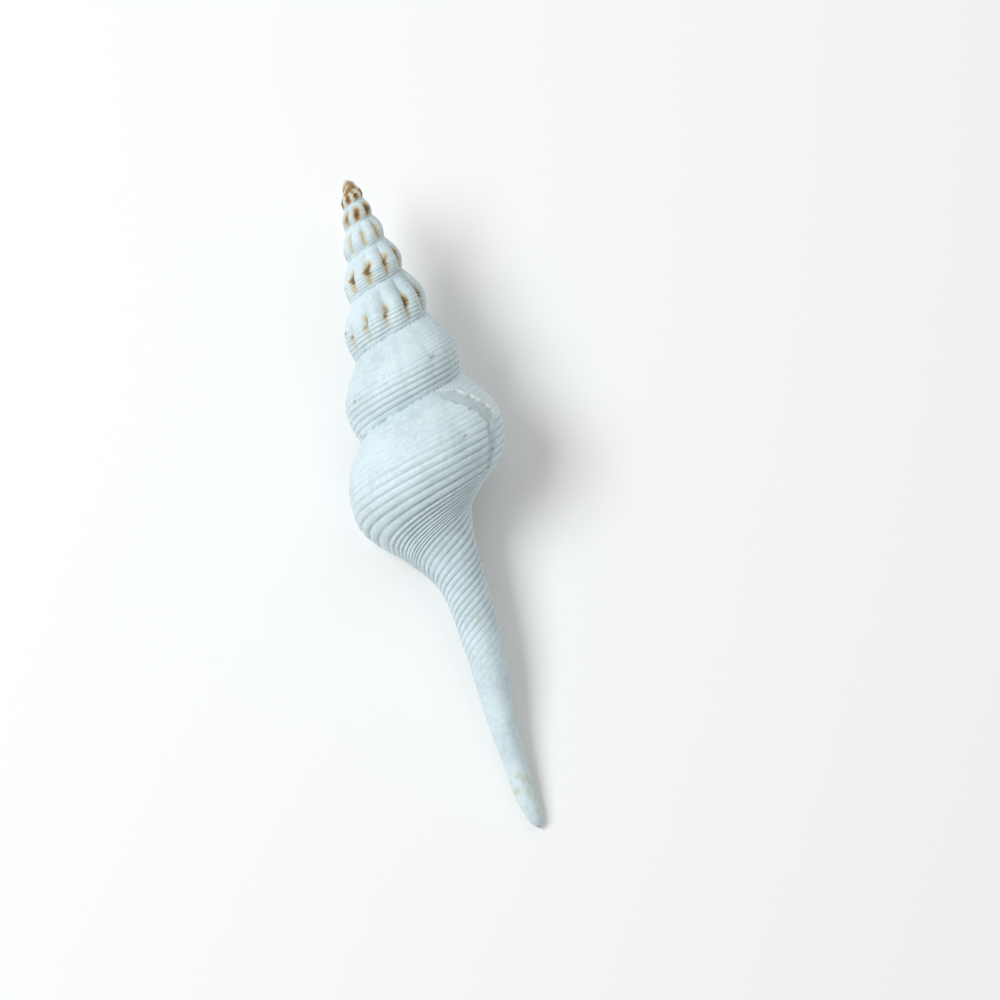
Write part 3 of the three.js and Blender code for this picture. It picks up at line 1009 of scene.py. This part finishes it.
# %% Floor
FLOOR_HALF = 1.6
FLOOR_DROP = 0.00002
floor_mesh = bpy.data.meshes.new("floor")
floor_shape = bmesh.new()
bmesh.ops.create_grid(floor_shape, x_segments=1, y_segments=1, size=FLOOR_HALF)
bmesh.ops.translate(floor_shape, vec=(0, 0, -FLOOR_DROP), verts=floor_shape.verts)
floor_shape.to_mesh(floor_mesh)
floor_shape.free()
floor = bpy.data.objects.new("floor", floor_mesh)
bpy.context.scene.collection.objects.link(floor)
floor_paint = bpy.data.materials.new("pale_floor")
floor_paint.use_nodes = True
floor_shader = floor_paint.node_tree.nodes["Principled BSDF"]
floor_shader.inputs["Base Color"].default_value = (0.94, 0.925, 0.92, 1)
floor_shader.inputs["Roughness"].default_value = 0.9
floor_shader.inputs["Specular IOR Level"].default_value = 0.1
floor_mesh.materials.append(floor_paint)
print("floor:", FLOOR_HALF * 2, "m square")

# %% [markdown]
# ## Camera
# The camera looks straight at the shell's back, square to its axis. It could stand close with a
# short lens, but that swells what is near. A long lens from over a metre away keeps the outline
# true.

# %% Camera
FRAME_WIDTH = 0.2217
CAMERA_DISTANCE = 1.2
AXIS_LEAN = math.radians(16.75)
VIEW_RIGHT = 12.75
VIEW_UP = 0.89
facing = RESTING.to_3x3()
right = facing @ Vector((math.cos(AXIS_LEAN), -math.sin(AXIS_LEAN), 0))
up = facing @ Vector((math.sin(AXIS_LEAN), math.cos(AXIS_LEAN), 0))
back = facing @ Vector((0, 0, 1))
target = (AXIS_MIDDLE + right * VIEW_RIGHT + up * VIEW_UP) * MM
camera_data = bpy.data.cameras.new("camera")
camera_data.sensor_width = 36
camera_data.lens = camera_data.sensor_width * CAMERA_DISTANCE / FRAME_WIDTH
camera_data.clip_start = 0.01
camera = bpy.data.objects.new("camera", camera_data)
bpy.context.scene.collection.objects.link(camera)
turned = Matrix((right, up, back)).transposed().to_4x4()
camera.matrix_world = Matrix.Translation(target + back * CAMERA_DISTANCE) @ turned
bpy.context.scene.camera = camera
print("lens:", round(camera_data.lens, 1), "mm")

# %% [markdown]
# ## Lights
# Low side light would make the cords stand out too hard, and light from all round would flatten
# them. One large soft lamp from the left gives the form, a weaker one from the upper right keeps
# the far side readable, and a pale world fills the rest.

# %% Lights
WORLD_STRENGTH = 0.42


def soft_lamp(name, sideways, upward, height, size, watts, tone):
    """A square lamp placed against the camera's own right and up, aimed at the shell."""
    lamp = bpy.data.lights.new(name, "AREA")
    lamp.size = size
    lamp.energy = watts
    lamp.color = tone
    made = bpy.data.objects.new(name, lamp)
    bpy.context.scene.collection.objects.link(made)
    made.location = target + right * sideways + up * upward + back * height
    aim = target - made.location
    made.rotation_euler = aim.to_track_quat("-Z", "Y").to_euler()
    return made


soft_lamp("key", sideways=-0.68, upward=0.18, height=0.85, size=0.55, watts=8.4,
          tone=(0.94, 0.985, 1.0))
soft_lamp("fill", sideways=0.35, upward=0.6, height=0.8, size=0.8, watts=1.6,
          tone=(1.0, 1.0, 0.97))
world = bpy.data.worlds.new("studio")
bpy.context.scene.world = world
world.use_nodes = True
background = world.node_tree.nodes["Background"]
background.inputs["Color"].default_value = (0.97, 1.0, 0.99, 1)
background.inputs["Strength"].default_value = WORLD_STRENGTH
bpy.context.scene.view_settings.view_transform = "Standard"
